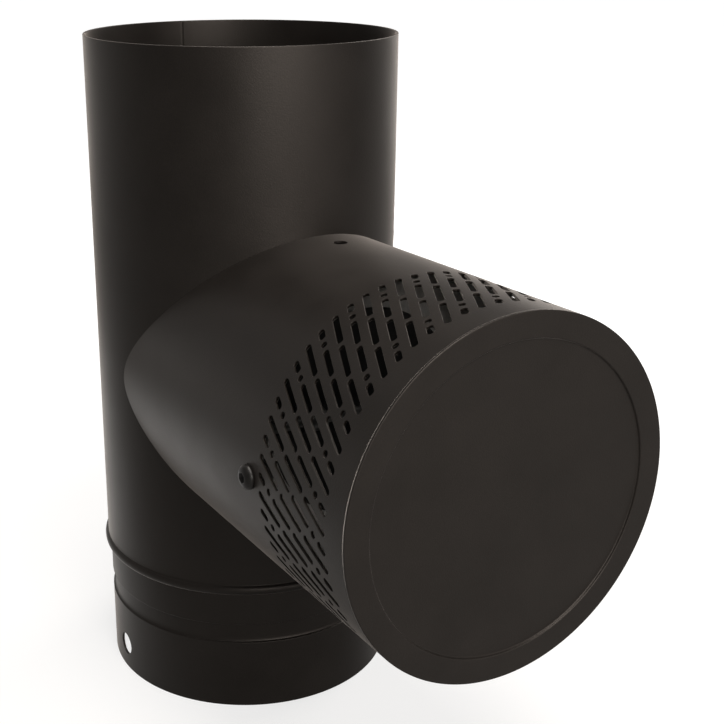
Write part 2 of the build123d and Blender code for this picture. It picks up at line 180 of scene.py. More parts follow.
def rounded(corners: list[Triple], steps: int = 6) -> Array:
    """Line through corners, each rounded over its own distance.

    A rounding is the curve (1-t)^2 a + 2 t (1-t) c + t^2 b, from a before the corner c to b after it.

    Args:
        corners: Place of each corner and the distance over which it is rounded, 0 for none.
        steps: Points on each rounding.
    Returns:
        Points of the line, with extra ones near the ends of its long runs.
    """
    table = np.array(corners, dtype=float)
    places, reach = table[:, :2], table[:, 2]
    line = [places[:1]]
    share = np.linspace(0, 1, steps)[:, None]
    for before, here, after, distance in zip(places, places[1:], places[2:], reach[1:]):
        start = here + (before - here) / np.linalg.norm(before - here) * distance
        end = here + (after - here) / np.linalg.norm(after - here) * distance
        bend = (1 - share) ** 2 * start + 2 * share * (1 - share) * here + share**2 * end
        line.append(bend if distance else here[None])
    points = np.concatenate(line + [places[-1:]])
    run = np.diff(points, axis=0)
    length = np.linalg.norm(run, axis=1)
    long = np.flatnonzero(length > LONG_RUN)
    step = run[long] * (END_STEP / length[long])[:, None]
    near, far = points[long] + step, points[long + 1] - step
    return np.insert(points, np.repeat(long + 1, 2), np.stack([near, far], axis=1).reshape(-1, 2), axis=0)


def arc_through(first: Array, middle: Array, last: Array, count: int = 14) -> Array:
    """Points on the circle through three places.

    Args:
        first: Start of the arc.
        middle: Any place on the way.
        last: End of the arc.
        count: Number of points.
    Returns:
        The points, ends included.
    """
    sides = 2 * np.array([middle - first, last - first])
    centre = np.linalg.solve(sides, np.array([middle @ middle - first @ first, last @ last - first @ first]))
    angles = np.unwrap([math.atan2(*(place - centre)[::-1]) for place in (first, middle, last)])
    turn = np.linspace(angles[0], angles[2], count)
    return centre + np.linalg.norm(first - centre) * np.stack([np.cos(turn), np.sin(turn)], axis=1)


def line_normals(points: Array, side: float = 1.0) -> Array:
    """Unit normals along a flat line.

    Args:
        points: The line.
        side: 1 for the right-hand side of its direction, -1 for the left.
    Returns:
        One normal for each point, halfway between those of its two runs.
    """
    run = np.diff(points, axis=0)
    run = run / np.maximum(np.linalg.norm(run, axis=1, keepdims=True), 1e-9)
    mean = np.concatenate([run[:1], run[:-1] + run[1:], run[-1:]])
    normal = side * np.stack([mean[:, 1], -mean[:, 0]], axis=1)
    return normal / np.linalg.norm(normal, axis=1, keepdims=True)


def carried(radius: Array, height: Array, around: Array, axis: Array) -> Array:
    """Carry a profile round an axis: radius times the direction from the axis, plus height times the axis.

    Args:
        radius: Radius for every row, or for every row and column.
        height: Height for every row.
        around: Direction from the axis for every column.
        axis: Direction of the axis.
    Returns:
        A grid of points, or of normals if radius and height are the parts of a normal.
    """
    return radius[..., None] * around + height[:, None, None] * axis


@dataclass(frozen=True)
class Skin:
    """A sheet's round surface, laid out flat by distance along its axis and arc round it.

    Attributes:
        origin: Point on the axis at distance 0.
        axis: Direction of the axis.
        start: Direction from the axis at arc 0.
        side: Direction from the axis a quarter turn further.
        radius: Outer radius at distance 0, by which arcs are measured.
        taper: Loss of radius for each millimetre of distance.
    """

    origin: Array
    axis: Array
    start: Array
    side: Array
    radius: float
    taper: float = 0.0

    def place(self, flat: Array, inset: Array | float) -> Array:
        """Points of the surface: origin, plus distance along the axis, plus radius along the spoke at the arc's angle.

        Args:
            flat: Distance and arc.
            inset: Depth under the outer face.
        Returns:
            The points in space.
        """
        distance, turn = flat[..., :1], flat[..., 1:] / self.radius
        radius = self.radius - self.taper * distance - np.asarray(inset)[..., None]
        spoke = np.cos(turn) * self.start + np.sin(turn) * self.side
        return self.origin + distance * self.axis + radius * spoke

    def axes(self, flat: Array) -> tuple[Array, Array, Array]:
        """Directions on the surface.

        Args:
            flat: Distance and arc.
        Returns:
            The directions along the axis, round it and outwards.
        """
        turn = flat[..., 1:] / self.radius
        around = np.cos(turn) * self.side - np.sin(turn) * self.start
        out = np.cos(turn) * self.start + np.sin(turn) * self.side + self.taper * self.axis
        return np.broadcast_to(self.axis, out.shape), around, out


# The upright pipe's surface: height along it, and arc from the front towards +X.
UPRIGHT = (np.zeros(3), UP, -BACK, RIGHT)


@dataclass(frozen=True)
class Cut:
    """A round or long hole through a sheet.

    Attributes:
        radius: Half its width.
        half: Half the distance between its end centres.
        line: Its direction on the laid-out surface.
        edge: Size of the softened edge.
        sheet: Thickness of the sheet.
    """

    radius: float
    half: float = 0.0
    line: Pair = (1.0, 0.0)
    edge: float = 0.16
    sheet: float = 1.2

    def pierce(self, skin: Skin, border: Array, centre: Array) -> Patch:
        """Fill the sheet between a border and this hole, on both faces, with the hole's own wall.

        Each border point looks at the nearest point of the hole's middle line, and the rim lies one radius from that.

        Args:
            skin: The surface.
            border: Closed lines round the holes, on the laid-out surface.
            centre: Middles of the holes.
        Returns:
            One patch for all the holes.
        """
        line = np.array(self.line)
        along = np.clip((border - centre) @ line, -self.half, self.half)
        core = centre + along[..., None] * line
        away = border - core
        away = away / np.linalg.norm(away, axis=-1, keepdims=True)
        rim, lip = core + away * self.radius, core + away * (self.radius + self.edge)
        rings = np.stack([border, lip, rim, rim, lip, border], axis=-3)
        inset = np.array([0, 0, self.edge, self.sheet - self.edge, self.sheet, self.sheet])[:, None]
        first, second, out = skin.axes(rings)
        wall = -(away[..., None, :, :1] * first + away[..., None, :, 1:] * second)
        share = np.array([0, 0, 1, 1, 0, 0])[:, None, None]
        side = np.array([1, 1, 0, 0, -1, -1])[:, None, None]
        return Patch(skin.place(rings, inset), share * wall + side * out, closed=True)


def frame_of(rows: Array, columns: Array, box: tuple[int, int, int, int]) -> Array:
    """Closed border of a block of grid cells.

    Args:
        rows: First coordinate of every grid point.
        columns: Second coordinate of every grid point.
        box: First and last row, first and last column.
    Returns:
        Points of the border, once round.
    """
    low, high, left, right = box
    across, down = np.arange(left, right), np.arange(low, high)
    row = np.concatenate([np.full(across.size, low), down, np.full(across.size, high), down[::-1] + 1])
    column = np.concatenate([across, np.full(down.size, right), across[::-1] + 1, np.full(down.size, left)])
    return np.stack([rows[row, column], columns[row, column]], axis=-1)


class Texture(Enum):
    """Shared surface textures, each made once as a node group."""

    COAT = "coat_texture"
    ROLLED = "rolled_texture"


STRETCH = {Texture.COAT: (1, 1, 1), Texture.ROLLED: (1, 6, 0.12)}
TONE_SPAN = (0.12, 0.42)
HAZE_ROUGHNESS = 0.24
BUMP_STRENGTH = 0.6
SOCKETS = (
    ("INPUT", "NodeSocketColor", ("Tone", "Second Tone")),
    ("INPUT", "NodeSocketFloat", ("Grain", "Cloud", "Roughness", "Spread")),
    ("OUTPUT", "NodeSocketColor", ("Color",)),
    ("OUTPUT", "NodeSocketFloat", ("Roughness", "Height")),
)


def ranged(tree: Tree, source: Socket, span: Pair, values: Pair) -> Socket:
    """Even change of a value, held at both ends.

    Args:
        tree: Node tree that gets the node.
        source: The value that is read.
        span: Where the change starts and ends.
        values: The results there.
    Returns:
        The result's socket.
    """
    node = tree.nodes.new("ShaderNodeMapRange")
    for name, value in zip(("From Min", "From Max", "To Min", "To Max"), (*span, *values)):
        node.inputs[name].default_value = value
    tree.links.new(source, node.inputs["Value"])
    return node.outputs["Result"]


def texture_group(kind: Texture) -> Tree:
    """Make or find a texture's node group.

    Args:
        kind: Which texture.
    Returns:
        A group with the sockets listed above, whose tone follows the product of two noises.
    """
    if kind.value in bpy.data.node_groups:
        return bpy.data.node_groups[kind.value]
    tree = bpy.data.node_groups.new(kind.value, "ShaderNodeTree")
    for side, content, names in SOCKETS:
        for name in names:
            tree.interface.new_socket(name, in_out=side, socket_type=content)
    node, link = tree.nodes.new, tree.links.new
    given, result = node("NodeGroupInput"), node("NodeGroupOutput")
    place, stretch = node("ShaderNodeTexCoord"), node("ShaderNodeMapping")
    stretch.inputs["Scale"].default_value = STRETCH[kind]
    link(place.outputs["Object"], stretch.inputs["Vector"])
    grain, cloud = node("ShaderNodeTexNoise"), node("ShaderNodeTexNoise")
    for noise, size, detail in ((grain, "Grain", 2.0), (cloud, "Cloud", 4.0)):
        noise.inputs["Detail"].default_value = detail
        link(stretch.outputs["Vector"], noise.inputs["Vector"])
        link(given.outputs[size], noise.inputs["Scale"])
    both, tone = node("ShaderNodeMath"), node("ShaderNodeMix")
    both.operation = "MULTIPLY"
    link(grain.outputs["Fac"], both.inputs[0])
    link(cloud.outputs["Fac"], both.inputs[1])
    # With this type the node's colours are inputs 6 and 7 and output 2.
    tone.data_type = "RGBA"
    link(ranged(tree, both.outputs["Value"], TONE_SPAN, (0.0, 1.0)), tone.inputs[0])
    link(given.outputs["Tone"], tone.inputs[6])
    link(given.outputs["Second Tone"], tone.inputs[7])
    middle, rough = node("ShaderNodeMath"), node("ShaderNodeMath")
    middle.operation, rough.operation = "SUBTRACT", "MULTIPLY_ADD"
    link(cloud.outputs["Fac"], middle.inputs[0])
    middle.inputs[1].default_value = 0.5
    link(middle.outputs["Value"], rough.inputs[0])
    link(given.outputs["Spread"], rough.inputs[1])
    link(given.outputs["Roughness"], rough.inputs[2])
    link(tone.outputs[2], result.inputs["Color"])
    link(rough.outputs["Value"], result.inputs["Roughness"])
    link(grain.outputs["Fac"], result.inputs["Height"])
    return tree


@dataclass(frozen=True)
class Finish:
    """Look of one material.

    Attributes:
        name: Name of the material.
        tone: Main colour.
        second: Colour that it drifts to.
        metallic: 1 for bare metal.
        roughness: Middle of the roughness.
        spread: How much the roughness drifts.
        grain: Grains for each metre.
        cloud: Larger drifts for each metre.
        relief: Height of the grain in metres.
        specular: Strength of the mirror part of paint.
        tint: Colour of the mirror part and of the haze.
        haze: Strength of the pale haze that powder paint shows at a low angle.
        texture: Which texture the finish uses.
    """

    name: str
    tone: Triple
    second: Triple
    metallic: float = 0.0
    roughness: float = 0.45
    spread: float = 0.08
    grain: float = 2600.0
    cloud: float = 60.0
    relief: float = 0.00002
    specular: float = 0.5
    tint: Triple = (1.0, 1.0, 1.0)
    haze: float = 0.0
    texture: Texture = Texture.COAT

    def build(self) -> bpy.types.Material:
        """Make the material.

        Returns:
            A material with its texture on object coordinates.
        """
        material = bpy.data.materials.new(self.name)
        material.use_nodes = True
        tree = material.node_tree
        shader = tree.nodes["Principled BSDF"]
        group, bump = tree.nodes.new("ShaderNodeGroup"), tree.nodes.new("ShaderNodeBump")
        group.node_tree = texture_group(self.texture)
        for node, name, value in (
            (shader, "Metallic", self.metallic), (shader, "Specular IOR Level", self.specular),
            (shader, "Specular Tint", (*self.tint, 1)), (shader, "Sheen Tint", (*self.tint, 1)),
            (shader, "Sheen Weight", self.haze), (shader, "Sheen Roughness", HAZE_ROUGHNESS),
            (group, "Tone", (*self.tone, 1)), (group, "Second Tone", (*self.second, 1)),
            (group, "Grain", self.grain), (group, "Cloud", self.cloud),
            (group, "Roughness", self.roughness), (group, "Spread", self.spread),
            (bump, "Strength", BUMP_STRENGTH), (bump, "Distance", self.relief),
        ):
            node.inputs[name].default_value = value
        tree.links.new(group.outputs["Color"], shader.inputs["Base Color"])
        tree.links.new(group.outputs["Roughness"], shader.inputs["Roughness"])
        tree.links.new(group.outputs["Height"], bump.inputs["Height"])
        tree.links.new(bump.outputs["Normal"], shader.inputs["Normal"])
        return material


STOVE_PAINT = Finish(
    "stove_paint", (0.0072, 0.006, 0.0052), (0.0112, 0.0094, 0.0083), roughness=0.42, spread=0.12, grain=1500, cloud=45,
    relief=0.00007, specular=0.38, tint=(1.0, 0.92, 0.86), haze=0.42,
)
FLAP_PAINT = Finish("flap_paint", (0.004, 0.004, 0.004), (0.007, 0.0065, 0.006), roughness=0.62, cloud=90)
RING_STEEL = Finish(
    "ring_steel", (0.6, 0.59, 0.57), (0.74, 0.73, 0.71), metallic=1.0, roughness=0.36, spread=0.2, grain=900, cloud=110,
    relief=0.00001, texture=Texture.ROLLED,
)
SMALL_STEEL = Finish(
    "small_steel", (0.14, 0.14, 0.138), (0.22, 0.217, 0.21), metallic=1.0, roughness=0.42, spread=0.16, grain=1800,
    cloud=160, relief=0.00001,
)
BUSH_BRASS = Finish(
    "bush_brass", (0.6, 0.42, 0.17), (0.72, 0.53, 0.25), metallic=1.0, roughness=0.3, spread=0.14, grain=1500,
    cloud=140, relief=0.00001,
)
DARK_SCREW = Finish(
    "dark_screw", (0.006, 0.0055, 0.005), (0.011, 0.0102, 0.0095), roughness=0.34, spread=0.12, grain=2200, cloud=300,
    relief=0.00001, specular=0.35,
)
WEIGHT_IRON = Finish(
    "weight_iron", (0.045, 0.044, 0.043), (0.085, 0.083, 0.08), metallic=0.6, roughness=0.58, spread=0.2, grain=1400,
    cloud=200, relief=0.00006,
)
FINISHES = (STOVE_PAINT, FLAP_PAINT, RING_STEEL, SMALL_STEEL, BUSH_BRASS, DARK_SCREW, WEIGHT_IRON)


@dataclass
class Assembly(ABC):
    """A group of pieces that stand for some of the solids."""

    tee: Tee
    materials: dict[Finish, bpy.types.Material]

    @abstractmethod
    def build(self) -> None:
        """Make the pieces and tie them to their bodies."""

    def settle(self, piece: bpy.types.Object, slot: str, *nodes: str) -> None:
        """Tie a finished piece to the frame.

        Args:
            piece: The piece.
            slot: Name of a material slot; not used.
            nodes: The solids that it stands for.
        """
        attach(piece, "frame")
        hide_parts(*nodes)


@dataclass
class FluePipe(Assembly):
    """Rolled pipe with stop bead, seal groove, collar and the openings for the branch and the collar hole.

    Attributes:
        columns: Grid columns round the pipe.
        collar_top: Height of the collar's upper edge.
        bead: Heights of the bead's foot, crown and top.
        block: Heights between which the grid is left open for the branch.
        block_rows: Grid rows beside that gap.
        opening_half: Half the turn and half the height by which points spread round the branch's opening.
        blend: Shares of the way from that gap's border to the opening at which points lie.
        hole_reach: Distance that the grid is left open above and below the collar hole's centre.
        hole_rows: Grid rows beside the collar hole.
        hole_columns: Grid columns left open on each side of it.
        seam_turn: Angle of the weld line from the front towards +X.
        seam_half: Half its width.
        seam_rise: Its height over the wall.
        seam_slope: Lean of its normals at its edges.
        seam_sink: Depth of its edges inside the wall.
        seam_ends: Distance of its ends from the lower and the upper rim.
    """

    columns: int = 256
    collar_top: float = 36.0
    bead: Triple = (63.4, 66.0, 68.6)
    block: Pair = (84.0, 250.0)
    block_rows: int = 13
    opening_half: Pair = (1.31, 72.5)
    blend: tuple[float, ...] = (0.0, 0.12, 0.3, 0.5, 0.7, 0.87, 1.0)
    hole_reach: float = 10.0
    hole_rows: int = 7
    hole_columns: int = 5
    seam_turn: float = math.radians(177.4)
    seam_half: float = 1.1
    seam_rise: float = 0.28
    seam_slope: float = 0.4
    seam_sink: float = 0.02
    seam_ends: Pair = (69.5, 0.6)

    @property
    def hole_heights(self) -> Array:
        """Heights of the grid rows beside the collar hole."""
        return self.tee.collar_hole_height + np.linspace(-self.hole_reach, self.hole_reach, self.hole_rows)

    def section(self, inset: float) -> Array:
        """Profile of one face of the sheet, from the lower rim to the upper.

        Straight runs with rounded corners make the collar, the groove, the neck and the pipe, and a circle through
        three places makes the bead.

        Args:
            inset: 0 for the outer face, the sheet's thickness for the inner one.
        Returns:
            Points of radius and height.
        """
        tee = self.tee
        spigot, groove, pipe = tee.spigot_radius - inset, tee.groove_radius - inset, tee.pipe_radius - inset
        edge = tee.sheet / 2 if inset else -tee.sheet / 2
        collar = [(spigot + edge, 0, 0), (spigot, 0, 0.3), (spigot, self.collar_top, 0.2)]
        hollow = [(groove + 0.36, 36.4, 0.35), (groove + 0.06, 37.3, 0.45), (groove, 38.6, 0.3), (groove, 45.6, 0.15)]
        neck = [(spigot, 46.2, 0.2), (spigot, 63.2, 0)]
        body = [(pipe, 68.9, 0), (pipe, tee.pipe_height, 0.3), (pipe + edge, tee.pipe_height, 0)]
        bead = arc_through(*np.stack([(spigot, tee.bead_radius - inset, pipe), self.bead], axis=1))
        heights = np.concatenate([self.hole_heights, np.linspace(*self.block, self.block_rows)])
        beside = np.stack([np.where(heights < self.collar_top, spigot, pipe), heights], axis=1)
        line = np.concatenate([rounded(collar + hollow + neck), bead, rounded(body), beside])
        return line[np.argsort(line[:, 1].round(4), kind="stable")]

    def wall(self, inset: float) -> list[Patch]:
        """One face of the pipe, open where the branch and the collar hole are.

        The profile is carried round the axis, and rows between the gap's border and the opening's edge close the gap.

        Args:
            inset: 0 for the outer face, the sheet's thickness for the inner one.
        Returns:
            The face and the part of it round the branch's opening.
        """
        tee = self.tee
        line = self.section(inset)
        normal = line_normals(line, -1.0 if inset else 1.0)
        heights = line[:, 1].round(4)
        turn = np.linspace(-np.pi, np.pi, self.columns, endpoint=False)
        around = np.stack([np.sin(turn), -np.cos(turn), 0 * turn], axis=-1)
        points, shade = (carried(part[:, :1], part[:, 1], around, UP) for part in (line, normal))
        quarter = self.columns // 4
        low, high = np.searchsorted(heights, self.block)
        foot, head = np.searchsorted(heights, self.hole_heights[[0, -1]] - 1e-3)
        skip = np.zeros((len(line) - 1, self.columns), dtype=bool)
        skip[low:high, quarter:3 * quarter] = True
        skip[foot:head, quarter - self.hole_columns:quarter + self.hole_columns] = True
        border = frame_of(points[..., 2], np.broadcast_to(turn, points.shape[:2]), (low, high, quarter, 3 * quarter))
        opening = self.opening(border, tee.pipe_radius - inset)
        share = np.array(self.blend)[:, None, None]
        flat = (border[None] * (1 - share) + opening[None] * share) * np.array([1.0, tee.pipe_radius])
        skin = Skin(*UPRIGHT, tee.pipe_radius)
        out = skin.axes(flat)[2] * (-1 if inset else 1)
        return [Patch(points, shade, True, skip), Patch(skin.place(flat, inset), out, True)]

    def opening(self, border: Array, radius: float) -> Array:
        """Edge of the branch's opening, where the branch's inner face meets the pipe.

        Args:
            border: Heights and turns round it, which set the spread of the points.
            radius: Radius of the pipe's face.
        Returns:
            Heights and turns on the edge.
        """
        tee = self.tee
        half_turn, half_height = self.opening_half
        side = np.arctan2(border[:, 1] / half_turn, (border[:, 0] - tee.branch_height) / half_height)
        inner = tee.branch_radius(tee.meeting(side, radius, tee.sheet)) - tee.sheet
        return np.stack([tee.branch_height + inner * np.cos(side), np.arcsin(inner * np.sin(side) / radius)], axis=-1)

    def collar_hole(self) -> Patch:
        """Hole through the left of the collar, with the sheet round it.

        Returns:
            The patch that fills the gap in both faces.
        """
        radius = self.tee.spigot_radius
        step = 2 * np.pi / self.columns * radius
        arcs = -np.pi / 2 * radius + step * np.arange(-self.hole_columns, self.hole_columns + 1)
        height, arc = np.meshgrid(self.hole_heights, arcs, indexing="ij")
        border = frame_of(height, arc, (0, self.hole_rows - 1, 0, 2 * self.hole_columns))
        centre = np.array([self.tee.collar_hole_height, -np.pi / 2 * radius])
        return Cut(self.tee.collar_hole_radius).pierce(Skin(*UPRIGHT, radius), border, centre)

    def seam(self) -> Patch:
        """Low weld line down the inner wall at the back, half a cosine wave across.

        Returns:
            The patch, whose edges lie just inside the wall.
        """
        tee, skin = self.tee, Skin(*UPRIGHT, self.tee.pipe_radius)
        across = np.linspace(-1, 1, 7)
        rise = self.seam_rise * np.cos(across * np.pi / 2) - self.seam_sink
        lean = self.seam_slope * np.sin(across * np.pi / 2)[:, None]
        arc = self.seam_turn * skin.radius + across * self.seam_half
        ends = [self.seam_ends[0], tee.pipe_height - self.seam_ends[1]]
        flat = np.stack(np.meshgrid(ends, arc, indexing="ij"), axis=-1)
        _, around, out = skin.axes(flat)
        return Patch(skin.place(flat, tee.sheet + rise), lean * around - out)

    def build(self) -> None:
        """Join both faces, the opening's edge, the collar hole and the weld line."""
        outer, inner = self.wall(0.0), self.wall(self.tee.sheet)
        edge = np.stack([outer[1].points[-1], inner[1].points[-1]])
        inward = self.tee.branch_height * UP - edge
        inward[..., 1] = 0
        patches = outer + inner + [Patch(edge, inward, True), self.collar_hole(), self.seam()]
        piece = make_piece("flue_pipe_skin", patches, self.materials[STOVE_PAINT])
        self.settle(piece, "stove_paint", "flue_pipe")


@dataclass
class SlottedBranch(Assembly):
    """Conical branch with its saddle end, gauge hole and the full band of slots, short slots and dots.

    Attributes:
        columns: Pairs of slot lines round the branch.
        steps: Grid steps across one slot line.
        slant: Angle of the slot lines to the branch's axis.
        width: Width of the slots.
        gap: Distance between the end centres of neighbouring slots on a line.
        line: Distance between the outermost end centres of a line.
        short: Length of the short slots between their end centres.
        phase: Angle of the first line from the top towards -X.
        spacing: Aim for the distance between grid points along a line.
        saddle_gap: Gap between the pipe and the branch's end.
        saddle_rows: Grid rows between the saddle and the gauge hole.
        saddle_end: Reach of the last of those rows.
        hole_rows: Reach of the grid rows beside the gauge hole.
        hole_columns: Grid columns left open on each side of it.
        plain_rows: Reach of the grid rows between the gauge hole and the slots.
        front_rows: Reach of the grid rows in front of the slots.
    """

    columns: int = 30
    steps: int = 4
    slant: float = math.radians(29.4)
    width: float = 3.0
    gap: float = 5.1
    line: float = 55.1
    short: float = 3.0
    phase: float = math.radians(1.5)
    spacing: float = 1.25
    saddle_gap: float = 0.05
    saddle_rows: int = 18
    saddle_end: float = 78.0
    hole_rows: tuple[float, ...] = (83.0, 87.0, 91.0, 95.0, 99.0)
    hole_columns: int = 4
    plain_rows: tuple[float, ...] = (112.0, 125.0, 138.0)
    front_rows: tuple[float, ...] = (207.0, 211.0)

    @property
    def skin(self) -> Skin:
        """Surface by distance from the band's middle towards the flue and by arc from the top towards -X."""
        tee = self.tee
        origin = tee.branch_height * UP - tee.band_reach * BACK
        return Skin(origin, BACK, UP, -RIGHT, tee.branch_radius(tee.band_reach), tee.flare)

    @property
    def half_line(self) -> float:
        """Half the arc between two neighbouring slot lines."""
        return self.skin.radius * math.pi / (2 * self.columns)

    def slots(self) -> list[tuple[int, float, float]]:
        """All slots of a pair of neighbouring lines.

        Returns:
            Line (0 mixed, 1 long), distance of the middle along it, and length between end centres.
        """
        long = (self.line - 2 * self.gap) / 3
        middle = (self.line - 2 * self.short - 5 * self.gap) / 2
        found = []
        for kind, lengths in enumerate(((self.short, 0, middle, middle, 0, self.short), (long, long, long))):
            starts = np.cumsum([-self.line / 2] + [length + self.gap for length in lengths[:-1]])
            found += [(kind, start + length / 2, length) for start, length in zip(starts, lengths)]
        return found

    def stations(self) -> Array:
        """Distances along a slot line at which all the cells have points.

        Returns:
            The ends of every cell and even steps between them.
        """
        ends = {round(d + s * (length + self.gap) / 2, 4) for _, d, length in self.slots() for s in (-1, 1)}
        ends = np.array(sorted(ends))
        counts = [max(2, round(run / self.spacing) + 1) for run in np.diff(ends)]
        runs = [np.linspace(a, b, count)[:-1] for a, b, count in zip(ends, ends[1:], counts)]
        return np.concatenate(runs + [ends[-1:]])

    def cells(self) -> list[Patch]:
        """The slotted band, a slanted grid of cells with one slot in each.

        Returns:
            One patch for each slot of a pair of lines, with a copy for every column.
        """
        stations, across = self.stations(), np.linspace(-1, 1, self.steps + 1) * self.half_line
        cos, sin = math.cos(self.slant), math.sin(self.slant)
        turns = (self.phase + np.arange(self.columns) * 2 * np.pi / self.columns) * self.skin.radius
        patches = []
        for kind, distance, length in self.slots():
            reach = (length + self.gap) / 2 + 1e-3
            along = stations[np.abs(stations - distance) <= reach]
            grid = np.meshgrid(along, across, indexing="ij")
            ring = frame_of(grid[0], grid[1], (0, along.size - 1, 0, self.steps))
            border = np.stack([ring[:, 0] * cos, ring[:, 1] - ring[:, 0] * sin], axis=-1)
            start = turns + kind * self.half_line * 2
            shift = np.stack([np.zeros_like(start), start], axis=-1)[:, None, :]
            centre = np.array([distance * cos, -distance * sin]) + shift
            cut = Cut(self.width / 2, length / 2, (cos, -sin))
            patches.append(cut.pierce(self.skin, border + shift, centre))
        return patches

    def plain(self, inset: float) -> list[Patch]:
        """One face of the unslotted ends, in rows of even reach that blend into the saddle.

        Args:
            inset: 0 for the outer face, the sheet's thickness for the inner one.
        Returns:
            The flue end and the front end.
        """
        tee, skin = self.tee, self.skin
        span = self.stations()[-1]
        count = 2 * self.columns * self.steps
        step = 2 * self.half_line / self.steps
        arc = (self.phase - np.pi) * skin.radius - self.half_line + step * np.arange(count)
        drift, depth = span * math.sin(self.slant), span * math.cos(self.slant)
        start = tee.meeting((arc - drift) / skin.radius, tee.pipe_radius + self.saddle_gap, inset)
        share = np.linspace(0, 1, self.saddle_rows)[:, None]
        rows = np.array([*self.hole_rows, *self.plain_rows, tee.band_reach - depth])[:, None]
        blend = start * (1 - share) + self.saddle_end * share
        flue = np.concatenate([blend, np.broadcast_to(rows, (rows.size, count))])
        front = np.array([tee.band_reach + depth, *self.front_rows, tee.tube_reach])[:, None]
        front = np.broadcast_to(front, (front.size, count))
        patches = []
        for reach, offset in ((flue, -drift), (front, drift)):
            flat = np.stack([tee.band_reach - reach, np.broadcast_to(arc + offset, reach.shape)], axis=-1)
            out = skin.axes(flat)[2] * (-1 if inset else 1)
            patches.append(Patch(skin.place(flat, inset), out, True))
        middle = int(round(-(arc[0] - drift) / step))
        low, high = self.saddle_rows, self.saddle_rows + len(self.hole_rows) - 1
        left, right = middle - self.hole_columns, middle + self.hole_columns
        patches[0].skip = np.zeros((len(flue) - 1, count), dtype=bool)
        patches[0].skip[low:high, left:right] = True
        if not inset:
            arcs = np.broadcast_to(arc - drift, flue.shape)
            border = frame_of(tee.band_reach - flue, arcs, (low, high, left, right))
            centre = np.array([tee.band_reach - tee.gauge_hole_reach, 0.0])
            patches.append(Cut(tee.gauge_hole_radius).pierce(skin, border, centre))
        return patches

    def build(self) -> None:
        """Join the plain ends, their edges and the slotted band."""
        outer, inner = self.plain(0.0), self.plain(self.tee.sheet)
        root = Patch(np.stack([outer[0].points[0], inner[0].points[0]]), BACK, True)
        rim = Patch(np.stack([outer[1].points[-1], inner[1].points[-1]]), -BACK, True)
        piece = make_piece("branch_skin", outer + inner + [root, rim] + self.cells(), self.materials[STOVE_PAINT])
        self.settle(piece, "stove_paint", "branch_tube")


@dataclass
class FrontCover(Assembly):
    """Pressed cover with a shallow round recess.

    Attributes:
        columns: Grid columns round the cover.
        recess_radius: Radius of the recess at the face.
        recess_foot: Radius of the recess at its floor.
        recess_depth: Depth of the recess.
        back_radius: Radius of the pressed back.
    """

    columns: int = 224
    recess_radius: float = 65.0
    recess_foot: float = 64.7
    recess_depth: float = 1.0
    back_radius: float = 66.2

    def build(self) -> None:
        """Carry the cover's profile round the branch's axis."""
        tee = self.tee
        face, floor = tee.branch_reach, tee.branch_reach - self.recess_depth
        back = floor - tee.sheet
        line = rounded([
            (0, floor, 0), (self.recess_foot, floor, 0.5), (self.recess_radius, face, 0.45),
            (tee.front_radius, face, 0.4), (tee.front_radius, tee.tube_reach, 0), (self.back_radius, tee.tube_reach, 0),
            (self.back_radius, back, 0), (0, back, 0),
        ])
        turn = np.linspace(0, 2 * np.pi, self.columns, endpoint=False)
        around = np.stack([np.sin(turn), 0 * turn, np.cos(turn)], axis=-1)
        points, shade = (carried(part[:, :1], part[:, 1], around, -BACK) for part in (line, line_normals(line, -1.0)))
        patch = Patch(points + tee.branch_height * UP, shade, True)
        piece = make_piece("front_cover_skin", [patch], self.materials[STOVE_PAINT])
        self.settle(piece, "stove_paint", "front_cover")


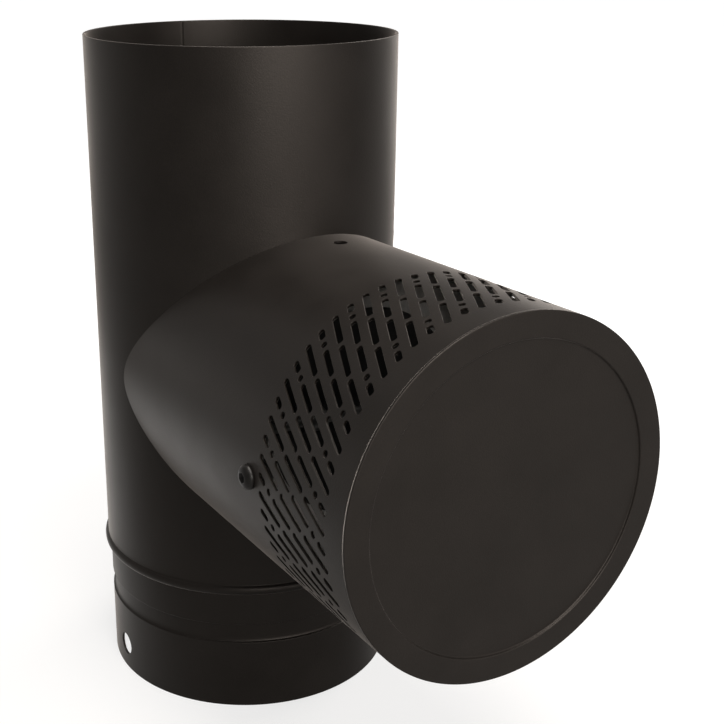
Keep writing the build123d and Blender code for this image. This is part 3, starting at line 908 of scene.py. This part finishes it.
@dataclass
class FixingScrews(Assembly):
    """Two button-head screws with hexagon sockets.

    Attributes:
        columns: Grid columns round each screw.
        lift: Gap between the branch and the head.
        foot: Radius and height of the corners of the shank and of the head's foot.
        dome: Three places of radius and height on the head's dome.
        socket_half: Half the hexagon's width across its flats.
        socket_edge: Width of the socket's softened edge.
        socket_heights: Heights of the softened edge's outside and inside, and of the floor's edge and middle.
    """

    columns: int = 48
    lift: float = 0.05
    foot: tuple[Pair, ...] = (
        (0.0, -9.95), (2.7, -9.95), (3.0, -9.6), (3.0, -0.1), (3.0, 0.0), (5.1, 0.0), (5.25, 0.15),
    )
    dome: tuple[Pair, ...] = ((5.25, 0.9), (4.45, 2.35), (2.75, 3.3))
    socket_half: float = 2.0
    socket_edge: float = 0.08
    socket_heights: tuple[float, ...] = (3.3, 3.2, 1.3, 1.3)

    def profile(self, turn: Array) -> tuple[Array, Array, Array]:
        """Screw's profile from the shank's end over the dome to the socket's floor.

        Between two corners of the hexagon its radius is half the width over the cosine of the angle from the flat.

        Args:
            turn: Angles round the screw.
        Returns:
            Radius for every row and angle, height for every row, and outward and upward parts of every row's normal.
        """
        outside = np.concatenate([np.array(self.foot), arc_through(*np.array(self.dome), 10)])
        normal = line_normals(outside)
        six = self.socket_half / np.cos((turn + np.pi / 6) % (np.pi / 3) - np.pi / 6)
        round_rows = np.broadcast_to(outside[:, :1], (len(outside), self.columns))
        radius = np.concatenate([round_rows, np.stack([six + self.socket_edge, six, six, 0 * six])])
        height = np.concatenate([outside[:, 1], self.socket_heights])
        return radius, height, np.concatenate([normal, [(0, 1), (-0.7, 0.7), (-0.7, 0.7), (0, 1)]])

    def build(self) -> None:
        """Carry the profile round each screw's axis."""
        tee = self.tee
        seat = tee.branch_radius(tee.fixing_reach + self.dome[0][0]) + self.lift
        turn = np.linspace(0, 2 * np.pi, self.columns, endpoint=False)
        radius, height, normal = self.profile(turn)
        around = np.stack([0 * turn, np.cos(turn), np.sin(turn)], axis=-1)
        middle = tee.branch_height * UP - tee.fixing_reach * BACK
        patches = []
        for axis in (-RIGHT, RIGHT):
            points = carried(radius, seat + height, around, axis) + middle
            patches.append(Patch(points, carried(normal[:, :1], normal[:, 1], around, axis), True))
        piece = make_piece("fixing_screw_heads", patches, self.materials[DARK_SCREW])
        self.settle(piece, "dark_screw", "fixing_screws")


@dataclass
class Mechanism(Assembly):
    """The solids inside the branch, which keep their own shape and get their finishes."""

    finishes: dict[Finish, tuple[str, ...]] = field(default_factory=lambda: {
        STOVE_PAINT: ("cover_ring",),
        RING_STEEL: (
            "regulator_ring", "seal_lip_upper", "seal_lip_lower", "bearing_bracket_right", "bearing_bracket_left",
        ),
        SMALL_STEEL: (
            "bracket_rivets", "fixing_nuts", "flap_axle", "axle_clips", "axle_block_right", "axle_block_left",
            "block_screws", "weight_rod", "rod_nuts",
        ),
        BUSH_BRASS: ("bearing_bush_right", "bearing_bush_left"),
        FLAP_PAINT: ("flap_disc",),
        WEIGHT_IRON: ("counterweight",),
        DARK_SCREW: ("weight_set_screw",),
    })

    def build(self) -> None:
        """Give each solid its finish."""
        for finish, nodes in self.finishes.items():
            for node in nodes:
                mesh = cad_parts[node].data
                mesh.materials.clear()
                mesh.materials.append(self.materials[finish])
                log.info("%s: %s", node, finish.name)


WARM = (1.0, 0.94, 0.88)
CENTRE = (0.0, -0.06, 0.17)
LIGHT_DISTANCE = 1.5


@dataclass(frozen=True)
class Panel:
    """A soft area light.

    Attributes:
        name: Name of the light.
        place: Its middle in metres.
        aim: The point it faces.
        size: Width and height in metres.
        glow: Brightness of its face.
    """

    name: str
    place: Triple
    aim: Triple
    size: Pair
    glow: float

    @classmethod
    def aimed(cls, name: str, turn: float, rise: float, glow: float, size: Pair = (0.72, 0.72)) -> "Panel":
        """Panel on the dome round the object.

        Args:
            name: Name of the light.
            turn: Degrees from the front towards +X.
            rise: Degrees above the floor.
            glow: Brightness of its face.
            size: Width and height in metres.
        Returns:
            The panel, facing the object.
        """
        around, up = math.radians(turn), math.radians(rise)
        away = Vector((math.cos(up) * math.sin(around), -math.cos(up) * math.cos(around), math.sin(up)))
        middle = Vector(CENTRE)
        return cls(name, tuple(middle + LIGHT_DISTANCE * away), tuple(middle), size, glow)

    def build(self) -> None:
        """Make the light."""
        lamp = bpy.data.lights.new(self.name, "AREA")
        lamp.shape = "RECTANGLE"
        lamp.size, lamp.size_y = self.size
        lamp.energy = self.glow * math.pi * self.size[0] * self.size[1]
        lamp.color = WARM
        holder = bpy.data.objects.new(self.name, lamp)
        holder.location = self.place
        away = Vector(self.aim) - Vector(self.place)
        holder.rotation_euler = away.to_track_quat("-Z", "Y").to_euler()
        bpy.context.scene.collection.objects.link(holder)


@dataclass
class Studio:
    """Floor, background, lights and camera.

    Attributes:
        panels: The lights.
        ambient: Strength of the sky for rays that light the object.
        mirrored: Share of the white surroundings that shows in glossy and clear pieces.
        reflection_pool: Middle of the floor close behind the object, which shows whole in them: a painted reflection,
            since that floor glows white only for glossy and clear rays and lights nothing else.
        reflection_pool_span: Distances from it between which that share, and the painted reflection with it, falls.
        near_span: Distances from the origin between which the floor's painted white glow rises.
        near_glow: That glow at those distances; being weaker round the object, it is a painted darkening there that
            deepens the real shadow.
        floor_tones: Floor's colour for the light that it throws back, and as it is seen.
        floor_half: Half the floor's width in metres.
        lens: Focal length of the camera in millimetres.
        shift: Shift of its picture.
        eye: Its place in metres.
        eye_turn: Its turn from +Y towards +X.
        eye_tilt: Its tilt upwards.
    """

    panels: tuple[Panel, ...] = (
        Panel.aimed("front_low", 358, 17, 6.1, (1.05, 0.72)),
        Panel.aimed("front_right", 30, 4, 0.8),
        Panel.aimed("front_high", 345, 58, 6.0),
        Panel.aimed("right_low", 90, 4, 0.3),
        Panel.aimed("right_back", 120, 4, 1.1),
        Panel.aimed("right_high", 105, 34, 5.2),
        Panel.aimed("back", 180, 4, 0.65),
        Panel.aimed("back_left", 210, 4, 0.15),
        Panel.aimed("left_back", 240, 4, 0.2),
        Panel("left_low", (-0.75, 1.1, 0.13), (-0.05, -0.05, 0.1), (0.9, 0.24), 0.3),
        Panel.aimed("back_high", 195, 34, 0.3),
        Panel.aimed("top", 0, 90, 9.6),
    )
    ambient: float = 0.06
    mirrored: float = 0.1
    reflection_pool: Triple = (0.06, 0.29, 0.0)
    reflection_pool_span: Pair = (0.2, 0.38)
    near_span: Pair = (0.2, 0.7)
    near_glow: Pair = (0.72, 1.0)
    floor_tones: Pair = (0.2, 0.3)
    floor_half: float = 9.0
    lens: float = 63.604
    shift: Pair = (0.08294, -0.0192)
    eye: Triple = (-0.291321, -0.5562, 0.377726)
    eye_turn: float = 0.528675
    eye_tilt: float = -0.326488

    @staticmethod
    def seen_part(tree: Tree, mirrored: Socket) -> Socket:
        """Share of the white surroundings that each kind of ray sees.

        Args:
            tree: Node tree that gets the nodes.
            mirrored: Share for glossy and transmission rays.
        Returns:
            Output that is 1 for camera rays, the share for glossy and transmission rays, and else 0.
        """
        path = tree.nodes.new("ShaderNodeLightPath")
        seen = path.outputs["Is Camera Ray"]
        for kind in ("Is Glossy Ray", "Is Transmission Ray"):
            share = tree.nodes.new("ShaderNodeMath")
            share.operation = "MULTIPLY_ADD"
            for source, socket in zip((path.outputs[kind], mirrored, seen), share.inputs):
                tree.links.new(source, socket)
            seen = share.outputs["Value"]
        return seen

    @staticmethod
    def spread_from(tree: Tree, middle: Triple, span: Pair, values: Pair) -> Socket:
        """Value that changes evenly with the distance from a place on the floor.

        Args:
            tree: Node tree that gets the nodes.
            middle: The place.
            span: Distances between which the value changes.
            values: The value at those distances.
        Returns:
            The value's socket.
        """
        place, away = tree.nodes.new("ShaderNodeNewGeometry"), tree.nodes.new("ShaderNodeVectorMath")
        away.operation = "DISTANCE"
        away.inputs[1].default_value = middle
        tree.links.new(place.outputs["Position"], away.inputs[0])
        return ranged(tree, away.outputs["Value"], span, values)

    def floor(self) -> None:
        """Pale floor: a matte part that takes the real shadow, and a painted white glow that the camera sees, weaker
        round the object, which glossy and clear pieces see as a painted reflection.
        """
        half = self.floor_half
        mesh = bpy.data.meshes.new("floor")
        mesh.from_pydata([(-half, -half, 0), (half, -half, 0), (half, half, 0), (-half, half, 0)], [], [(0, 1, 2, 3)])
        plane = bpy.data.objects.new("floor", mesh)
        bpy.context.scene.collection.objects.link(plane)
        material = bpy.data.materials.new("floor_white")
        material.use_nodes = True
        tree = material.node_tree
        tree.nodes.clear()
        node, link = tree.nodes.new, tree.links.new
        out, both = node("ShaderNodeOutputMaterial"), node("ShaderNodeAddShader")
        matte, white, strength = node("ShaderNodeBsdfDiffuse"), node("ShaderNodeEmission"), node("ShaderNodeMath")
        # Painted reflection: round the spot behind the object the floor glows fully white to glossy and clear rays, and
        # only dimly elsewhere.
        seen = self.seen_part(tree, self.spread_from(tree, self.reflection_pool, self.reflection_pool_span, (1.0, self.mirrored)))
        strength.operation = "MULTIPLY"
        white.inputs["Color"].default_value = (1, 1, 1, 1)
        link(seen, strength.inputs[0])
        # Painted shade: the floor's glow is weaker round the object, so the floor is darker there, where the real
        # shadow falls.
        link(self.spread_from(tree, (0.0, 0.0, 0.0), self.near_span, self.near_glow), strength.inputs[1])
        link(ranged(tree, seen, (0.0, 1.0), self.floor_tones), matte.inputs["Color"])
        link(strength.outputs["Value"], white.inputs["Strength"])
        link(matte.outputs["BSDF"], both.inputs[0])
        link(white.outputs["Emission"], both.inputs[1])
        link(both.outputs["Shader"], out.inputs["Surface"])
        mesh.materials.append(material)

    def sky(self) -> None:
        """Background that is white to the camera and dim to everything else."""
        world = bpy.data.worlds.new("studio")
        bpy.context.scene.world = world
        world.use_nodes = True
        tree = world.node_tree
        shader = tree.nodes["Background"]
        shader.inputs["Color"].default_value = (1, 1, 1, 1)
        dim = tree.nodes.new("ShaderNodeValue")
        dim.outputs["Value"].default_value = self.mirrored
        seen = self.seen_part(tree, dim.outputs["Value"])
        tree.links.new(ranged(tree, seen, (0.0, 1.0), (self.ambient, 1.0)), shader.inputs["Strength"])

    def camera(self) -> None:
        """Camera of the photograph."""
        eye = bpy.data.cameras.new("camera")
        eye.sensor_width = 36.0
        eye.lens = self.lens
        eye.shift_x, eye.shift_y = self.shift
        holder = bpy.data.objects.new("camera", eye)
        holder.matrix_world = (
            Matrix.Translation(self.eye)
            @ Matrix.Rotation(-self.eye_turn, 4, "Z")
            @ Matrix.Rotation(math.pi / 2 + self.eye_tilt, 4, "X")
        )
        bpy.context.scene.collection.objects.link(holder)
        bpy.context.scene.camera = holder

    def build(self) -> None:
        """Make the whole set."""
        bpy.context.scene.view_settings.view_transform = "Standard"
        self.floor()
        self.sky()
        self.camera()
        for panel in self.panels:
            panel.build()


def main() -> None:
    """Build the pieces and the set."""
    logging.basicConfig(level=logging.INFO)
    tee = Tee()
    materials = {finish: finish.build() for finish in FINISHES}
    for assembly in (FluePipe, SlottedBranch, FrontCover, FixingScrews, Mechanism):
        assembly(tee, materials).build()
        log.info("%s is built", assembly.__name__)
    Studio().build()


if __name__ == "__main__":
    main()
